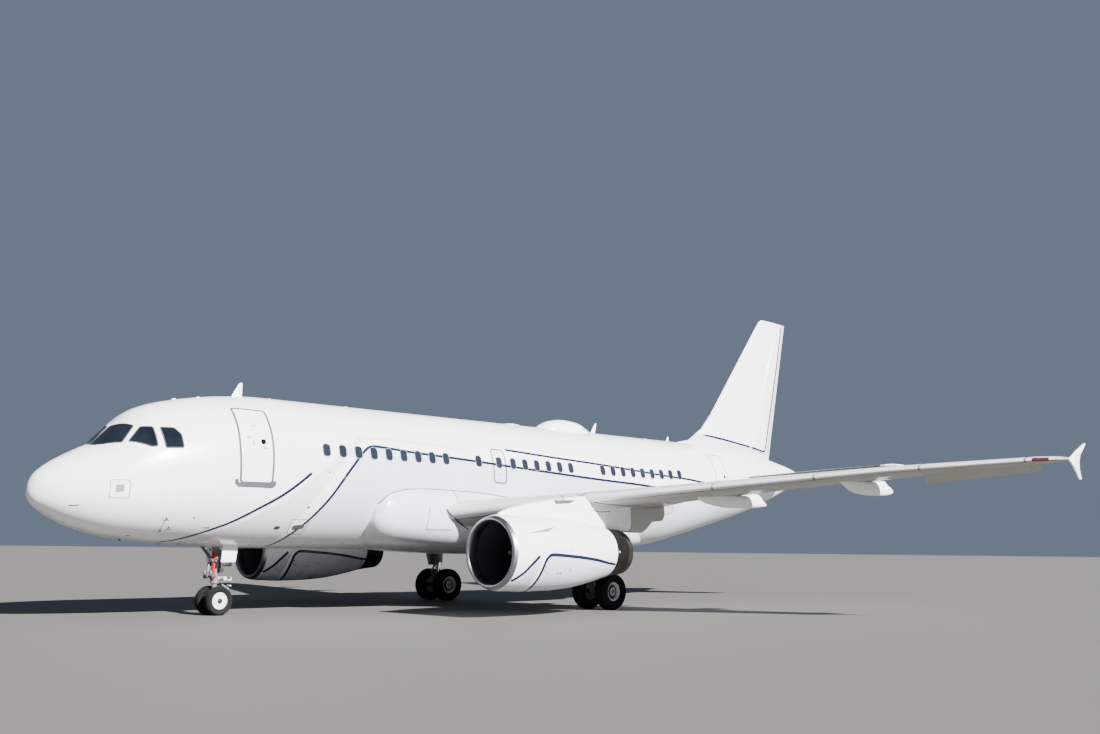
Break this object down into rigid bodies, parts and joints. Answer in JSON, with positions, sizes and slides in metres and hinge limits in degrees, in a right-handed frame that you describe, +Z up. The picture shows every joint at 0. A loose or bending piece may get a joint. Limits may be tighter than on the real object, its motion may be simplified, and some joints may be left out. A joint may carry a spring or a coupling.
{
  "type": "narrow-body airliner",
  "caption": "Twin-engine narrow-body airliner parked on its landing gear, with swept low wings, wing-tip fences, and wheels, fans and control surfaces that move.",
  "frame": {"origin": "on the ground, under the middle of the aircraft's bounding box", "axes": "+X to the aircraft's left (port) side, across the span; the nose points along -Y; +Z up. The airframe stands 0.447 degrees nose down about +X."},
  "size_m": [34.1006, 33.8266, 11.8515],
  "materials": {
    "airframe_paint": "gloss polyurethane paint, white",
    "wing_grey": "satin grey paint",
    "bare_aluminium": "polished bare aluminium",
    "nozzle_steel": "heat-darkened nickel steel",
    "engine_dark": "matt dark",
    "fan_titanium": "satin titanium",
    "tyre_rubber": "worn rubber",
    "wheel_alloy": "satin light grey paint",
    "gear_paint": "satin grey paint"
  },
  "bodies": {
    "root": {"radome": "airframe_paint", "fuselage_forward": "airframe_paint", "fuselage_centre": "airframe_paint", "fuselage_aft": "airframe_paint", "tail_cone": "airframe_paint", "belly_fairing": "airframe_paint", "dome_antenna_cover": "airframe_paint", "fin": "airframe_paint", "tailplane_left": "airframe_paint", "wing_left": "wing_grey", "wingtip_fence_left": "airframe_paint", "track_fairing_inner_left": "airframe_paint", "track_fairing_middle_left": "airframe_paint", "track_fairing_outer_left": "airframe_paint", "inlet_lip_left": "bare_aluminium", "engine_cowl_left": "airframe_paint", "exhaust_nozzle_left": "nozzle_steel", "engine_core_left": "engine_dark", "pylon_left": "airframe_paint", "main_leg_left": "gear_paint", "main_leg_door_left": "airframe_paint", "tailplane_right": "airframe_paint", "wing_right": "wing_grey", "wingtip_fence_right": "airframe_paint", "track_fairing_inner_right": "airframe_paint", "track_fairing_middle_right": "airframe_paint", "track_fairing_outer_right": "airframe_paint", "inlet_lip_right": "bare_aluminium", "engine_cowl_right": "airframe_paint", "exhaust_nozzle_right": "nozzle_steel", "engine_core_right": "engine_dark", "pylon_right": "airframe_paint", "main_leg_right": "gear_paint", "main_leg_door_right": "airframe_paint", "nose_leg": "gear_paint", "nose_door_left": "airframe_paint", "nose_door_right": "airframe_paint"},
    "fan_left": {"fan_left": "fan_titanium"},
    "aileron_left": {"aileron_left": "wing_grey"},
    "elevator_left": {"elevator_left": "airframe_paint"},
    "main_bay_door_left": {"main_bay_door_left": "airframe_paint"},
    "main_wheels_left": {"main_left_outer_tyre": "tyre_rubber", "main_left_outer_wheel": "wheel_alloy", "main_left_inner_tyre": "tyre_rubber", "main_left_inner_wheel": "wheel_alloy"},
    "fan_right": {"fan_right": "fan_titanium"},
    "aileron_right": {"aileron_right": "wing_grey"},
    "elevator_right": {"elevator_right": "airframe_paint"},
    "main_bay_door_right": {"main_bay_door_right": "airframe_paint"},
    "main_wheels_right": {"main_right_outer_tyre": "tyre_rubber", "main_right_outer_wheel": "wheel_alloy", "main_right_inner_tyre": "tyre_rubber", "main_right_inner_wheel": "wheel_alloy"},
    "rudder": {"rudder": "airframe_paint"},
    "nose_steering": {"nose_strut": "gear_paint"},
    "nose_wheels": {"nose_left_tyre": "tyre_rubber", "nose_left_wheel": "wheel_alloy", "nose_right_tyre": "tyre_rubber", "nose_right_wheel": "wheel_alloy"}
  },
  "joints": [
    {"name": "nose_steering", "type": "hinge", "parent": "root", "child": "nose_steering", "pos_m": [0, -11.84296, 0.378], "axis": [0, -0.0078, 1], "range_deg": [-75, 75]},
    {"name": "nose_wheels_spin", "type": "hinge", "parent": "nose_steering", "child": "nose_wheels", "pos_m": [0, -11.84296, 0.378], "axis": [1, 0, 0], "continuous": true},
    {"name": "main_wheels_left_spin", "type": "hinge", "parent": "root", "child": "main_wheels_left", "pos_m": [3.795, -0.77096, 0.55], "axis": [1, 0, 0], "continuous": true},
    {"name": "main_wheels_right_spin", "type": "hinge", "parent": "root", "child": "main_wheels_right", "pos_m": [-3.795, -0.77096, 0.55], "axis": [1, 0, 0], "continuous": true},
    {"name": "fan_left_spin", "type": "hinge", "parent": "root", "child": "fan_left", "pos_m": [5.75, -6.10249, 1.71352], "axis": [0, 1, 0.0078], "continuous": true},
    {"name": "fan_right_spin", "type": "hinge", "parent": "root", "child": "fan_right", "pos_m": [-5.75, -6.10249, 1.71352], "axis": [0, 1, 0.0078], "continuous": true},
    {"name": "rudder_hinge", "type": "hinge", "parent": "root", "child": "rudder", "pos_m": [0, 13.07365, 6.12826], "axis": [0, 0.3844, 0.9232], "range_deg": [-25, 25]},
    {"name": "elevator_left_hinge", "type": "hinge", "parent": "root", "child": "elevator_left", "pos_m": [1.26, 12.85984, 4.66069], "axis": [0.9317, 0.3465, 0.1093], "range_deg": [-17, 30]},
    {"name": "elevator_right_hinge", "type": "hinge", "parent": "root", "child": "elevator_right", "pos_m": [-1.26, 12.85984, 4.66069], "axis": [0.9317, -0.3465, -0.1093], "range_deg": [-17, 30]},
    {"name": "aileron_left_hinge", "type": "hinge", "parent": "root", "child": "aileron_left", "pos_m": [13.35, 1.75043, 3.98189], "axis": [0.9377, 0.3387, 0.0769], "range_deg": [0, 51]},
    {"name": "aileron_right_hinge", "type": "hinge", "parent": "root", "child": "aileron_right", "pos_m": [-13.35, 1.75043, 3.98189], "axis": [0.9377, -0.3387, -0.0769], "range_deg": [0, 51]},
    {"name": "main_bay_door_left_hinge", "type": "hinge", "parent": "root", "child": "main_bay_door_left", "pos_m": [0.19, -0.90188, 1.65549], "axis": [0, 1, 0.0078], "range_deg": [0, 80]},
    {"name": "main_bay_door_right_hinge", "type": "hinge", "parent": "root", "child": "main_bay_door_right", "pos_m": [-0.19, -0.90188, 1.65549], "axis": [0, -1, -0.0078], "range_deg": [0, 80]}
  ]
}
